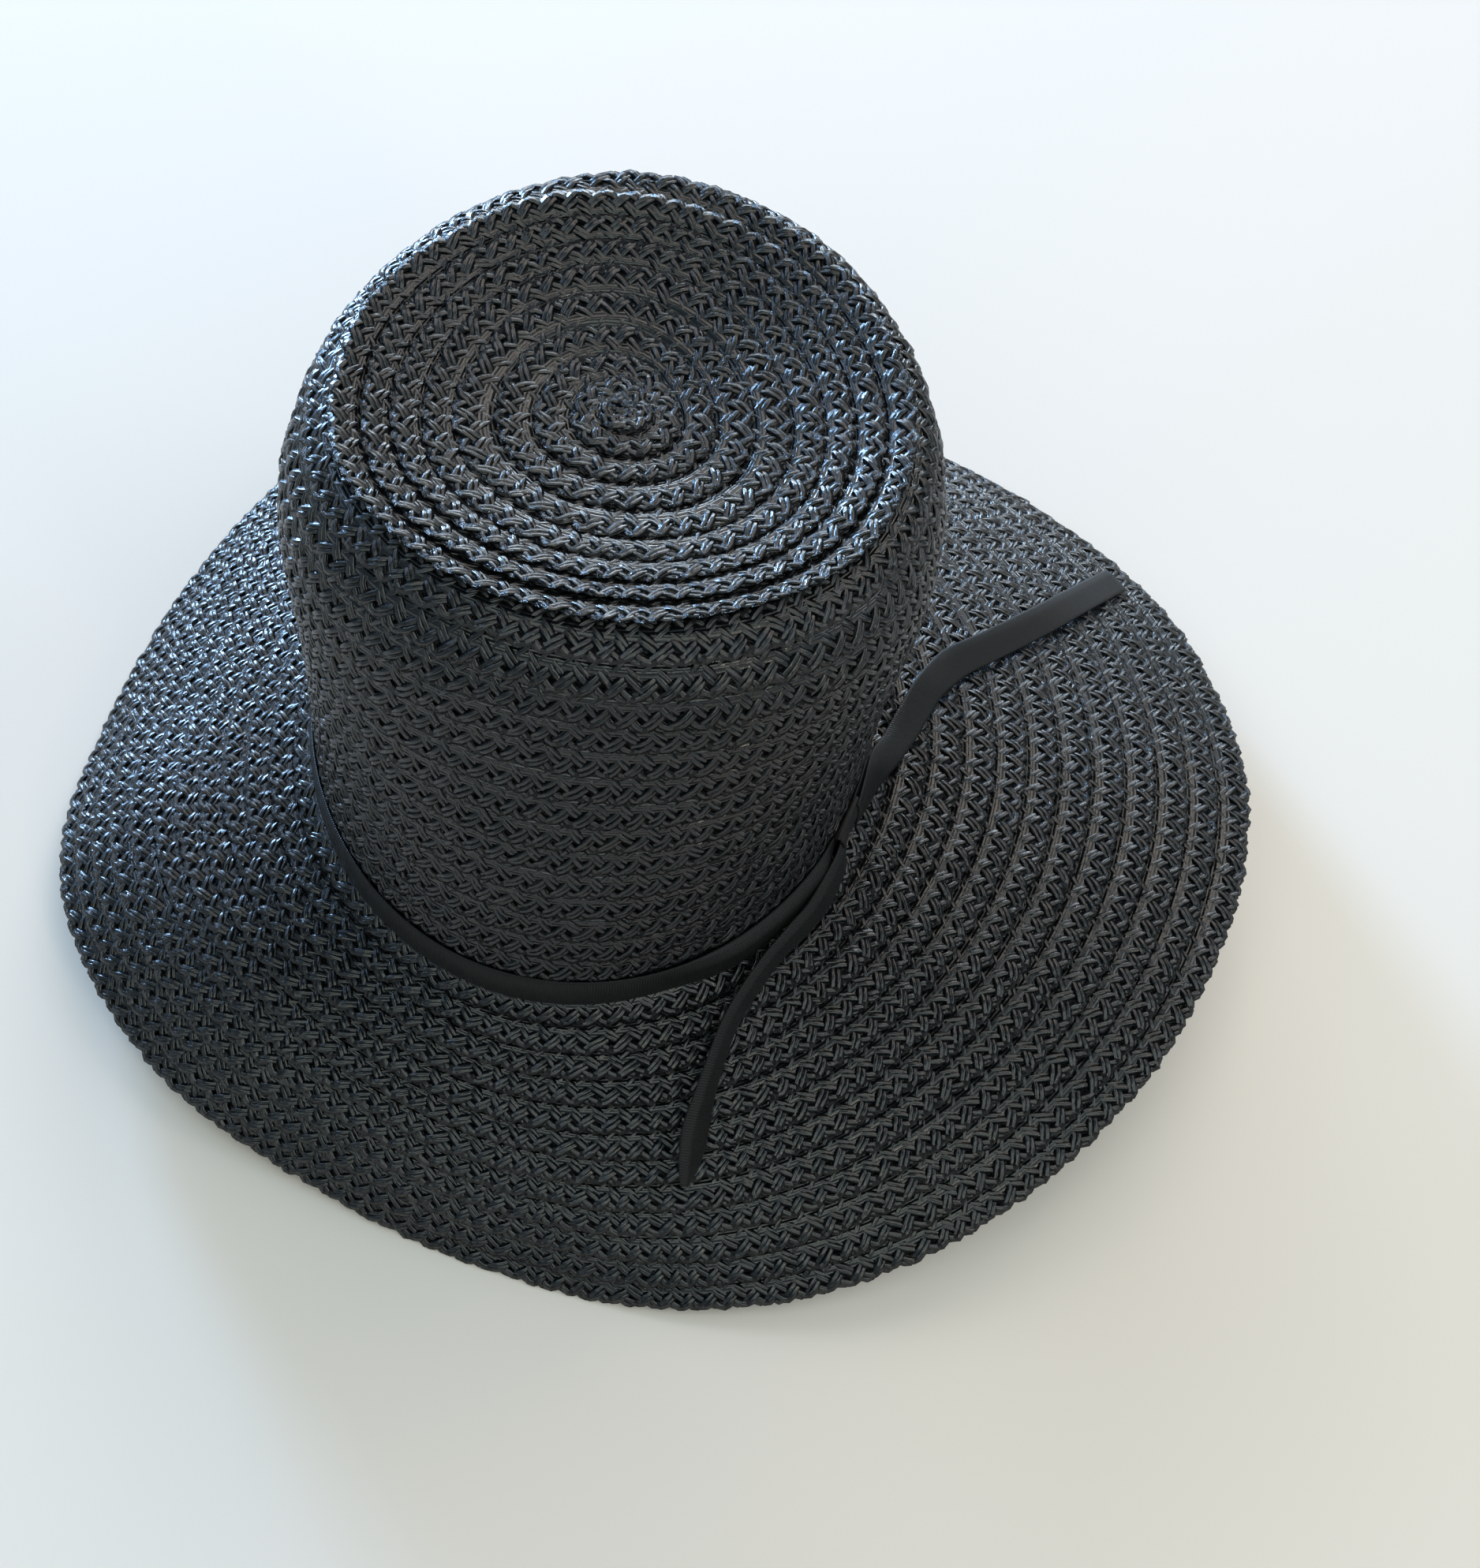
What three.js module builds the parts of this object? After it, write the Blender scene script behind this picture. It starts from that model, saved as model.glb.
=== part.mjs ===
import * as THREE from "three";

// Sizes are in millimetres and angles in degrees. X runs to the right, Y to the back and Z up.
// The hat is drawn round the centre of the crown's foot, then set down on the floor.
const wall = 2.0;
const clearGap = 0.3;
const rowStep = 0.9;

// Half widths of the crown across and deep, and their heights above the foot.
const footHalfX = 84.3;
const footHalfY = 103.5;
const bulgeHalfX = 88.7;
const bulgeHalfY = 94.0;
const bulgeHeight = 113.2;
const rimHalfX = 76.1;
const rimHalfY = 76.7;
const rimHeight = 143.9;
const shoulderSquareness = 1.1;

// The crown leans a little and is faintly three-sided near its top, and its tip is dished.
const leanX = 4.0;
const leanY = 1.8;
const lobeSize = -3.9;
const lobeHeight = 112.0;
const lobeSpread = 38.0;
const dishDepth = 9.3;
const centreHump = 2.2;

// Rows of sewn braid on the tip, the side and the brim, and the steps round them.
const tipRowEdges = [0.19, 0.31, 0.44, 0.58, 0.69, 0.79, 0.895, 1.0];
const sideRows = 15;
const brimRows = 12;
const crownSteps = 48;
const brimSteps = 72;
const restFlat = 0.5;

// The brim every 22.5 degrees from the right side, turning to the back: its width along the straw,
// its fall near the crown and near the edge, and where between them it folds over.
const brimTable = [
  { width: 127.4, fallInner: 4.6, fallOuter: 11.6, foldAt: 0.80 },
  { width: 128.6, fallInner: 11.8, fallOuter: 18.9, foldAt: 0.80 },
  { width: 127.1, fallInner: 21.4, fallOuter: 29.4, foldAt: 0.80 },
  { width: 123.2, fallInner: 28.2, fallOuter: 36.9, foldAt: 0.80 },
  { width: 117.1, fallInner: 26.7, fallOuter: 36.5, foldAt: 0.75 },
  { width: 110.7, fallInner: 27.2, fallOuter: 38.0, foldAt: 0.75 },
  { width: 104.9, fallInner: 31.5, fallOuter: 44.9, foldAt: 0.75 },
  { width: 100.6, fallInner: 33.6, fallOuter: 50.7, foldAt: 0.75 },
  { width: 98.1, fallInner: 29.8, fallOuter: 51.9, foldAt: 0.72 },
  { width: 96.2, fallInner: 21.8, fallOuter: 46.0, foldAt: 0.70 },
  { width: 89.0, fallInner: 22.2, fallOuter: 55.2, foldAt: 0.66 },
  { width: 83.4, fallInner: 33.2, fallOuter: 67.8, foldAt: 0.68 },
  { width: 87.8, fallInner: 37.2, fallOuter: 66.6, foldAt: 0.72 },
  { width: 97.4, fallInner: 28.7, fallOuter: 51.8, foldAt: 0.76 },
  { width: 108.7, fallInner: 16.4, fallOuter: 31.6, foldAt: 0.78 },
  { width: 119.7, fallInner: 7.0, fallOuter: 16.8, foldAt: 0.80 },
];
const foldSoftness = 0.09;

// The ribbon round the foot and its knot at the right of the front.
const bandLow = 0.8;
const bandHigh = 10.3;
const bandThick = 0.9;
const bandSteps = 72;
const knotAzimuth = -18.6;
const knotLength = 8.0;
const knotThick = 1.0;

// Each tail of the ribbon as its low edge and its high edge, from the knot to the cut end.
const backTail = [
  { low: [84.7, -28.3, 1.4], high: [84.9, -28.2, 11.3] },
  { low: [86.6, -21.2, 1.3], high: [87.0, -20.7, 11.3] },
  { low: [88.8, -14.0, 1.2], high: [88.6, -13.3, 11.1] },
  { low: [92.8, -6.3, 1.0], high: [89.2, -6.0, 10.3] },
  { low: [98.6, 5.8, 0.3], high: [90.8, 5.2, 7.3] },
  { low: [103.2, 17.2, -0.6], high: [94.8, 16.6, 5.7] },
  { low: [108.5, 27.6, -2.1], high: [100.2, 29.2, 3.7] },
  { low: [115.7, 37.9, -4.3], high: [107.4, 43.6, -0.9] },
  { low: [125.1, 47.9, -7.3], high: [116.9, 53.6, -4.3] },
  { low: [135.0, 58.7, -10.9], high: [127.0, 64.6, -8.4] },
  { low: [145.8, 71.2, -15.5], high: [138.2, 77.9, -13.8] },
  { low: [157.1, 86.0, -21.8], high: [149.6, 93.0, -21.2] },
  { low: [171.6, 106.2, -32.5], high: [164.2, 113.4, -32.6] },
];
const frontTail = [
  { low: [81.8, -39.2, 1.2], high: [81.7, -39.2, 10.6] },
  { low: [84.2, -43.2, 0.9], high: [80.4, -46.0, 8.8] },
  { low: [82.6, -52.6, 0.4], high: [76.8, -56.4, 7.2] },
  { low: [79.6, -60.8, -0.2], high: [73.6, -64.4, 7.1] },
  { low: [75.7, -68.3, -0.7], high: [69.5, -71.2, 6.8] },
  { low: [68.7, -78.8, -1.4], high: [62.9, -82.7, 6.0] },
  { low: [62.8, -90.6, -3.3], high: [57.2, -94.9, 3.9] },
  { low: [58.7, -99.9, -5.9], high: [53.9, -104.6, 1.8] },
  { low: [56.6, -110.0, -9.8], high: [51.5, -114.5, -2.2] },
  { low: [55.4, -119.5, -14.2], high: [49.4, -123.6, -7.2] },
  { low: [55.0, -127.7, -18.6], high: [47.8, -131.3, -12.5] },
  { low: [54.2, -135.8, -23.2], high: [48.2, -139.4, -16.0] },
  { low: [51.9, -142.2, -27.2], high: [49.7, -145.2, -22.2] },
];
const tailThick = 0.9;
const tailSteps = 30;
const backCrease = 0.4;
const frontCrease = 1.3;

const strawLook = { color: 0x2b2f35, roughness: 0.55, metalness: 0.0 };
const ribbonLook = { color: 0x34383c, roughness: 0.85, metalness: 0.0 };

const degrees = Math.PI / 180;

// Smooth value between the entries of a list that closes on itself.
function aroundTable(values, azimuth) {
  const count = values.length;
  const place = (((azimuth / 360) % 1) + 1) % 1 * count;
  const index = Math.floor(place);
  const part = place - index;
  const p0 = values[(index - 1 + count) % count];
  const p1 = values[index % count];
  const p2 = values[(index + 1) % count];
  const p3 = values[(index + 2) % count];
  const bend = 2 * p0 - 5 * p1 + 4 * p2 - p3;
  const cube = 3 * p1 - p0 - 3 * p2 + p3;
  return 0.5 * (2 * p1 + (p2 - p0) * part + bend * part * part + cube * part * part * part);
}

// A point of the crown, given the half widths, the height and how far off the surface it lies.
function crownPoint(azimuth, halfX, halfY, height, outward = 0, upward = 0) {
  const c = Math.cos(azimuth * degrees);
  const s = Math.sin(azimuth * degrees);
  const length = Math.hypot(c * halfY, s * halfX) || 1;
  const spread = Math.exp(-Math.pow((height - lobeHeight) / lobeSpread, 2)) * Math.min(1, halfX / rimHalfX);
  const lobe = lobeSize * spread * Math.sin(3 * azimuth * degrees);
  return new THREE.Vector3(
    (halfX + lobe) * c + leanX * height / rimHeight + outward * c * halfY / length,
    (halfY + lobe) * s + leanY * height / rimHeight + outward * s * halfX / length,
    height + upward,
  );
}

// The crown's outline from the centre of the tip over the rim and down to the foot.
function crownOutline() {
  const points = [];
  const tipParts = 64;
  for (let i = 0; i <= tipParts; i++) {
    const share = i / tipParts;
    const hump = centreHump * Math.exp(-Math.pow(share / 0.12, 2));
    points.push([rimHalfX * share, rimHalfY * share, rimHeight - dishDepth * (1 - share * share) + hump]);
  }
  const shoulderParts = 60;
  for (let i = 1; i <= shoulderParts; i++) {
    const turn = (1 - i / shoulderParts) * Math.PI / 2;
    const across = Math.pow(Math.cos(turn), shoulderSquareness);
    const upright = Math.pow(Math.sin(turn), shoulderSquareness);
    points.push([
      rimHalfX + (bulgeHalfX - rimHalfX) * across,
      rimHalfY + (bulgeHalfY - rimHalfY) * across,
      bulgeHeight + (rimHeight - bulgeHeight) * upright,
    ]);
  }
  const sideParts = 40;
  for (let i = 1; i <= sideParts; i++) {
    const share = i / sideParts;
    points.push([
      bulgeHalfX + (footHalfX - bulgeHalfX) * share,
      bulgeHalfY + (footHalfY - bulgeHalfY) * share,
      bulgeHeight * (1 - share),
    ]);
  }
  return { points, rimIndex: tipParts };
}

// Reads the outline at a distance along it, with the direction square to the surface.
function outlineReader(points, from, to) {
  const reach = [0];
  for (let i = from + 1; i <= to; i++) {
    const a = points[i - 1];
    const b = points[i];
    const across = ((b[0] - a[0]) + (b[1] - a[1])) / 2;
    reach.push(reach[reach.length - 1] + Math.hypot(across, b[2] - a[2]));
  }
  const total = reach[reach.length - 1];
  return (share) => {
    const wanted = Math.min(Math.max(share, 0), 1) * total;
    let i = 1;
    while (i < reach.length - 1 && reach[i] < wanted) {
      i++;
    }
    const part = (wanted - reach[i - 1]) / (reach[i] - reach[i - 1]);
    const a = points[from + i - 1];
    const b = points[from + i];
    const run = ((b[0] - a[0]) + (b[1] - a[1])) / 2;
    const rise = b[2] - a[2];
    const length = Math.hypot(run, rise);
    return {
      halfX: a[0] + (b[0] - a[0]) * part,
      halfY: a[1] + (b[1] - a[1]) * part,
      height: a[2] + (b[2] - a[2]) * part,
      outward: -rise / length,
      upward: run / length,
    };
  };
}

function profilePoint(azimuth, spot, offset) {
  return crownPoint(azimuth, spot.halfX, spot.halfY, spot.height, spot.outward * offset, spot.upward * offset);
}

// Closed surface from rings of points. A ring of one point closes an end, and a loop joins last to first.
function ringSurface(rings, looped = false) {
  const positions = [];
  const corner = (ring, index) => ring[index % ring.length];
  const add = (a, b, c) => positions.push(a.x, a.y, a.z, b.x, b.y, b.z, c.x, c.y, c.z);
  const last = looped ? rings.length : rings.length - 1;
  for (let r = 0; r < last; r++) {
    const near = rings[r];
    const far = rings[(r + 1) % rings.length];
    const count = Math.max(near.length, far.length);
    for (let i = 0; i < count; i++) {
      if (near.length > 1) {
        add(corner(near, i), corner(far, i), corner(near, i + 1));
      }
      if (far.length > 1) {
        add(corner(near, i + 1), corner(far, i), corner(far, i + 1));
      }
    }
  }
  return finished(positions);
}

function finished(positions) {
  const geometry = new THREE.BufferGeometry();
  geometry.setAttribute("position", new THREE.Float32BufferAttribute(positions, 3));
  geometry.computeVertexNormals();
  return geometry;
}

function meshOf(name, geometry, look) {
  const mesh = new THREE.Mesh(geometry, new THREE.MeshStandardMaterial(look));
  mesh.name = name;
  return mesh;
}

function crownGeometry() {
  const { points, rimIndex } = crownOutline();
  const tip = outlineReader(points, 0, rimIndex);
  const side = outlineReader(points, rimIndex, points.length - 1);
  const ring = (spot, offset) => {
    const list = [];
    for (let i = 0; i < crownSteps; i++) {
      list.push(profilePoint(i * 360 / crownSteps, spot, offset));
    }
    return list;
  };
  const rings = [[profilePoint(0, tip(0), 0)]];
  tipRowEdges.forEach((edge, k) => {
    if (k > 0) {
      rings.push(ring(tip(tipRowEdges[k - 1]), 0));
    }
    rings.push(ring(tip(edge), rowStep));
  });
  for (let k = 0; k < sideRows; k++) {
    rings.push(ring(side(k / sideRows + 0.004), 0));
    const atFoot = k === sideRows - 1;
    rings.push(ring(side((k + 1) / sideRows), atFoot ? 0 : rowStep));
  }
  for (const share of [1, 0.8, 0.6, 0.4, 0.3, 0.2, 0.1, 0.03]) {
    rings.push(ring(side(share), -wall));
  }
  for (const share of [0.93, 0.7, 0.4, 0.15]) {
    rings.push(ring(tip(share), -wall));
  }
  rings.push([profilePoint(0, tip(0), -wall)]);
  return ringSurface(rings);
}

// The brim's fall from the crown to the edge at one azimuth, as points with the direction off the straw.
function brimProfile(azimuth, parts) {
  const width = aroundTable(brimTable.map((row) => row.width), azimuth);
  const inner = aroundTable(brimTable.map((row) => row.fallInner), azimuth);
  const outer = aroundTable(brimTable.map((row) => row.fallOuter), azimuth);
  const fold = aroundTable(brimTable.map((row) => row.foldAt), azimuth);
  const slopeAt = (share) => {
    const turned = 1 / (1 + Math.exp(-(share - fold) / foldSoftness));
    return (inner * (1 - turned) + outer * turned) * degrees;
  };
  const spots = [{ out: 0, height: 0, slope: slopeAt(0) }];
  for (let i = 0; i < parts; i++) {
    const slope = slopeAt((i + 0.5) / parts);
    const before = spots[i];
    spots.push({
      out: before.out + Math.cos(slope) * width / parts,
      height: before.height - Math.sin(slope) * width / parts,
      slope: slopeAt((i + 1) / parts),
    });
  }
  return spots;
}

function brimPoint(azimuth, spot, offset) {
  const out = spot.out + Math.sin(spot.slope) * offset;
  const point = crownPoint(azimuth, footHalfX, footHalfY, 0, out, 0);
  point.z = spot.height - clearGap + Math.cos(spot.slope) * offset;
  return point;
}

function brimGeometry() {
  const profiles = [];
  for (let i = 0; i < brimSteps; i++) {
    profiles.push(brimProfile(i * 360 / brimSteps, brimRows));
  }
  const ring = (index, offset) => profiles.map((spots, i) => brimPoint(i * 360 / brimSteps, spots[index], offset));
  const rimRing = (out, height) => profiles.map((spots, i) => {
    const point = crownPoint(i * 360 / brimSteps, footHalfX, footHalfY, 0, out, 0);
    point.z = height;
    return point;
  });
  const rings = [rimRing(-wall, -clearGap)];
  for (let k = 0; k < brimRows; k++) {
    rings.push(ring(k, 0));
    rings.push(ring(k + 1, k < brimRows - 1 ? rowStep : rowStep / 2));
  }
  const floor = Math.min(...rings[rings.length - 1].map((point) => point.z)) + restFlat;
  for (const index of [12, 11, 10, 9, 8, 7, 5, 3, 1]) {
    rings.push(ring(index, -wall));
  }
  rings.push(rimRing(-wall, -clearGap - wall));
  for (const list of rings) {
    for (const point of list) {
      point.z = Math.max(point.z, floor);
    }
  }
  return ringSurface(rings, true);
}

// A flat strip bent round the foot, between two heights and two distances off the crown.
function bandPoint(azimuth, height, outward) {
  const share = height / bulgeHeight;
  const halfX = footHalfX + (bulgeHalfX - footHalfX) * share;
  const halfY = footHalfY + (bulgeHalfY - footHalfY) * share;
  return crownPoint(azimuth, halfX, halfY, height, outward);
}

function bandGeometry() {
  const inside = rowStep + clearGap;
  const outside = inside + bandThick;
  const corners = [[inside, bandLow], [inside, bandHigh], [outside, bandHigh], [outside, bandLow]];
  const rings = corners.map(([out, height]) => {
    const list = [];
    for (let i = 0; i < bandSteps; i++) {
      list.push(bandPoint(i * 360 / bandSteps, height, out));
    }
    return list;
  });
  return ringSurface(rings.reverse(), true);
}

// A closed tube through cross-sections that all have the same number of corners.
function sectionSolid(sections) {
  const positions = [];
  const add = (a, b, c) => positions.push(a.x, a.y, a.z, b.x, b.y, b.z, c.x, c.y, c.z);
  const count = sections[0].length;
  for (let s = 0; s + 1 < sections.length; s++) {
    for (let i = 0; i < count; i++) {
      const j = (i + 1) % count;
      add(sections[s][i], sections[s + 1][i], sections[s][j]);
      add(sections[s][j], sections[s + 1][i], sections[s + 1][j]);
    }
  }
  const end = sections[sections.length - 1];
  const half = count / 2;
  for (let i = 0; i < half - 1; i++) {
    add(sections[0][i], sections[0][i + 1], sections[0][count - 1 - i]);
    add(sections[0][i + 1], sections[0][count - 2 - i], sections[0][count - 1 - i]);
    add(end[i + 1], end[i], end[count - 1 - i]);
    add(end[count - 2 - i], end[i + 1], end[count - 1 - i]);
  }
  return finished(positions);
}

// The knot is a short wrap of ribbon that hooks over the band.
function knotGeometry() {
  const face = rowStep + clearGap + bandThick + clearGap;
  const back = rowStep + clearGap;
  const top = bandHigh + clearGap;
  const outline = [
    [face, bandLow + 0.2], [face, top], [back, top],
    [back, top + knotThick], [face + knotThick, top + knotThick], [face + knotThick, bandLow + 0.2],
  ];
  const sections = [];
  const spread = knotLength / footHalfX / degrees / 2;
  const parts = 5;
  for (let i = 0; i <= parts; i++) {
    const share = i / parts * 2 - 1;
    const azimuth = knotAzimuth + spread * share;
    const bulge = 0.5 * (1 - share * share);
    sections.push(outline.map(([out, height], index) => bandPoint(azimuth, height, out + (index > 3 ? bulge : 0))));
  }
  return sectionSolid(sections);
}

function tailGeometry(stations, crease) {
  const curve = (key) => new THREE.CatmullRomCurve3(stations.map((row) => new THREE.Vector3(...row[key])));
  const lowCurve = curve("low");
  const highCurve = curve("high");
  const sections = [];
  for (let i = 0; i <= tailSteps; i++) {
    const share = i / tailSteps;
    const low = lowCurve.getPoint(share);
    const high = highCurve.getPoint(share);
    const along = lowCurve.getTangent(share).add(highCurve.getTangent(share)).normalize();
    const across = high.clone().sub(low).normalize();
    const normal = along.clone().cross(across).normalize();
    if (normal.z < 0) {
      normal.negate();
    }
    const ridge = low.clone().lerp(high, 0.74).addScaledVector(normal, crease);
    const line = [low, ridge, high];
    const upper = line.map((point) => point.clone().addScaledVector(normal, tailThick / 2));
    const under = line.map((point) => point.clone().addScaledVector(normal, -tailThick / 2));
    sections.push([...upper, ...under.reverse()]);
  }
  return sectionSolid(sections);
}

// Turns a surface right side out if its corners run the wrong way.
function facingOut(geometry) {
  const position = geometry.getAttribute("position");
  const a = new THREE.Vector3();
  const b = new THREE.Vector3();
  const c = new THREE.Vector3();
  let volume = 0;
  for (let i = 0; i < position.count; i += 3) {
    a.fromBufferAttribute(position, i);
    b.fromBufferAttribute(position, i + 1);
    c.fromBufferAttribute(position, i + 2);
    volume += a.dot(b.clone().cross(c)) / 6;
  }
  if (volume < 0) {
    for (let i = 0; i < position.count; i += 3) {
      b.fromBufferAttribute(position, i + 1);
      c.fromBufferAttribute(position, i + 2);
      position.setXYZ(i + 1, c.x, c.y, c.z);
      position.setXYZ(i + 2, b.x, b.y, b.z);
    }
  }
  geometry.computeVertexNormals();
  return geometry;
}

const hat = new THREE.Group();
hat.name = "sewn_braid_hat";
const pieces = [
  meshOf("crown", crownGeometry(), strawLook),
  meshOf("brim", brimGeometry(), strawLook),
  meshOf("hat_band", bandGeometry(), ribbonLook),
  meshOf("band_knot", knotGeometry(), ribbonLook),
  meshOf("band_tail_back", tailGeometry(backTail, backCrease), ribbonLook),
  meshOf("band_tail_front", tailGeometry(frontTail, frontCrease), ribbonLook),
];

// Set the hat on the floor with the middle of its outline at the origin.
const outline = new THREE.Box3();
for (const piece of pieces) {
  piece.geometry.computeBoundingBox();
  outline.union(piece.geometry.boundingBox);
}
const middle = outline.getCenter(new THREE.Vector3());
for (const piece of pieces) {
  piece.geometry.translate(-middle.x, -middle.y, -outline.min.z);
  facingOut(piece.geometry);
  hat.add(piece);
}

export default hat;
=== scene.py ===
import math

import bmesh
import bpy
import numpy as np
from mathutils import Matrix, Vector


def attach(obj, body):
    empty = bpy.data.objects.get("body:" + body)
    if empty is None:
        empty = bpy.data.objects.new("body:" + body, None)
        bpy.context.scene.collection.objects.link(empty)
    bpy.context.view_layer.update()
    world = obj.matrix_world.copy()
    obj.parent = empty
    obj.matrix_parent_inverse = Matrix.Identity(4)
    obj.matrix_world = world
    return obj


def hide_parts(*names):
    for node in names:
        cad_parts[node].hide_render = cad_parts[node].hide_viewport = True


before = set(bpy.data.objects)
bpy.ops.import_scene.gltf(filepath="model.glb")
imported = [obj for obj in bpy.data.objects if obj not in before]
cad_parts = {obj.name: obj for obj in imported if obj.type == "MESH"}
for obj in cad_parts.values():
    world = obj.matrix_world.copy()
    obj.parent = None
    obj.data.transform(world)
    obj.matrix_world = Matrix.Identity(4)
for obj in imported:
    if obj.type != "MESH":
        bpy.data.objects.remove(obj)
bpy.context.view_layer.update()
mm = 0.001

# The camera stands over the front of the hat and looks down into the dish of the tip.
cameraView = {
    "place": (0.02515, -0.43600, 0.66863),
    "right": (0.98814, 0.12847, 0.08407),
    "up": (-0.15353, 0.82684, 0.54107),
    "back": (0.0, -0.54756, 0.83677),
    "lens": 53.97,
    "sensor": 36.0,
}


def addCamera():
    data = bpy.data.cameras.new("camera")
    data.lens = cameraView["lens"]
    data.sensor_width = cameraView["sensor"]
    data.clip_start = 0.01
    data.clip_end = 20.0
    camera = bpy.data.objects.new("camera", data)
    bpy.context.scene.collection.objects.link(camera)
    turn = Matrix((cameraView["right"], cameraView["up"], cameraView["back"])).transposed()
    camera.matrix_world = Matrix.Translation(cameraView["place"]) @ turn.to_4x4()
    bpy.context.scene.camera = camera


addCamera()
print("camera placed")

# Sizes in millimetres. Everything but footPlace is measured from the centre of the crown's foot.
crownSizes = {
    "footPlace": (-23.604, -18.361, 61.275),
    "footHalf": (84.3, 103.5),
    "bulgeHalf": (88.7, 94.0),
    "bulgeHeight": 113.2,
    "rimHalf": (76.1, 76.7),
    "rimHeight": 143.9,
    "shoulderSquareness": 1.1,
    "lean": (4.0, 1.8),
    "lobeSize": -3.9,
    "lobeHeight": 112.0,
    "lobeSpread": 38.0,
    "dishDepth": 9.3,
    "centreHump": 2.2,
    "humpSpread": 0.12,
    "outlineSteps": (65, 61, 41),
}

# The brim every 22.5 degrees from the right side, turning to the back.
brimSizes = {
    "width": (127.4, 128.6, 127.1, 123.2, 117.1, 110.7, 104.9, 100.6,
              98.1, 96.2, 89.0, 83.4, 87.8, 97.4, 108.7, 119.7),
    "fallInner": (4.6, 11.8, 21.4, 28.2, 26.7, 27.2, 31.5, 33.6,
                  29.8, 21.8, 22.2, 33.2, 37.2, 28.7, 16.4, 7.0),
    "fallOuter": (11.6, 18.9, 29.4, 36.9, 36.5, 38.0, 44.9, 50.7,
                  51.9, 46.0, 55.2, 67.8, 66.6, 51.8, 31.6, 16.8),
    "foldAt": (0.80, 0.80, 0.80, 0.80, 0.75, 0.75, 0.75, 0.75,
               0.72, 0.70, 0.66, 0.68, 0.72, 0.76, 0.78, 0.80),
    "foldSoftness": 0.09,
    "slopeSteps": 24,
    "footGap": 0.3,
}

# Where each row of braid ends on the tip, as shares of the rim, how many rows follow, and how far
# the rows' edges stand off the hat, in millimetres. Turns are in degrees and spreads in rows.
rowPlan = {
    "tipEdges": (0.0, 0.09, 0.19, 0.31, 0.44, 0.58, 0.69, 0.79, 0.895, 1.0),
    "sideRows": 15,
    "brimRows": 12,
    "stepFrom": 30.0,
    "stepTo": 150.0,
    "underlap": 0.26,
    "innerSink": -1.25,
    "rimSink": 0.55,
    "rimSpread": 0.45,
    "outerRise": 0.35,
    "tipSoftness": 0.7,
    "tipSpread": 2.5,
    "tipSinkKept": 0.4,
    "ridgeRows": (6.6, 7.6, 8.6),
    "ridgeRise": (0.3, 0.4, 0.45),
    "ridgeSpread": 0.4,
    "ridgeTurn": 260.0,
    "ridgeMean": 0.55,
    "ridgeSwing": 0.45,
    "leftRise": 1.0,
    "leftSink": 0.7,
    "leftTurn": 190.0,
    "leftSharpness": 1.5,
    "leftSpread": 2.0,
    "tuckSink": 1.1,
    "tuckTurn": 25.0,
    "rowWander": 0.045,
    "rowSeed": 3,
    "riseWander": 0.14,
    "riseSeed": 5,
    "wanderPace": (1.3, 11.0),
    "wanderWaves": 9,
    "firstTurn": -200.0,
    "endTurn": 95.0,
    "pathStep": 1.3,
    "floorClear": 1.0,
}
tipRows = len(rowPlan["tipEdges"]) - 1
footRow = tipRows + rowPlan["sideRows"]
edgeRow = footRow + rowPlan["brimRows"]


def unit(vectors):
    return vectors / np.maximum(np.linalg.norm(vectors, axis=-1, keepdims=True), 1e-9)


def smooth(share):
    share = np.clip(share, 0.0, 1.0)
    return share * share * (3 - 2 * share)


def curveBetween(p0, p1, p2, p3, part):
    bend = 2 * p0 - 5 * p1 + 4 * p2 - p3
    cube = 3 * p1 - p0 - 3 * p2 + p3
    return 0.5 * (2 * p1 + (p2 - p0) * part + bend * part ** 2 + cube * part ** 3)


def aroundTable(values, azimuth):
    values = np.array(values)
    count = len(values)
    place = np.mod(azimuth / 360.0, 1.0) * count
    index = np.floor(place).astype(int)
    near = (values[(index + k) % count] for k in (-1, 0, 1, 2))
    return curveBetween(*near, place - index)


def crownPoint(azimuth, halfX, halfY, height, outward=0.0):
    s = crownSizes
    cos, sin = np.cos(np.radians(azimuth)), np.sin(np.radians(azimuth))
    length = np.maximum(np.hypot(cos * halfY, sin * halfX), 1e-6)
    lobe = s["lobeSize"] * np.exp(-((height - s["lobeHeight"]) / s["lobeSpread"]) ** 2)
    lobe = lobe * np.minimum(1.0, halfX / s["rimHalf"][0]) * np.sin(3 * np.radians(azimuth))
    x = (halfX + lobe) * cos + s["lean"][0] * height / s["rimHeight"] + outward * cos * halfY / length
    y = (halfY + lobe) * sin + s["lean"][1] * height / s["rimHeight"] + outward * sin * halfX / length
    return np.stack(np.broadcast_arrays(x, y, height), -1)


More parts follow.
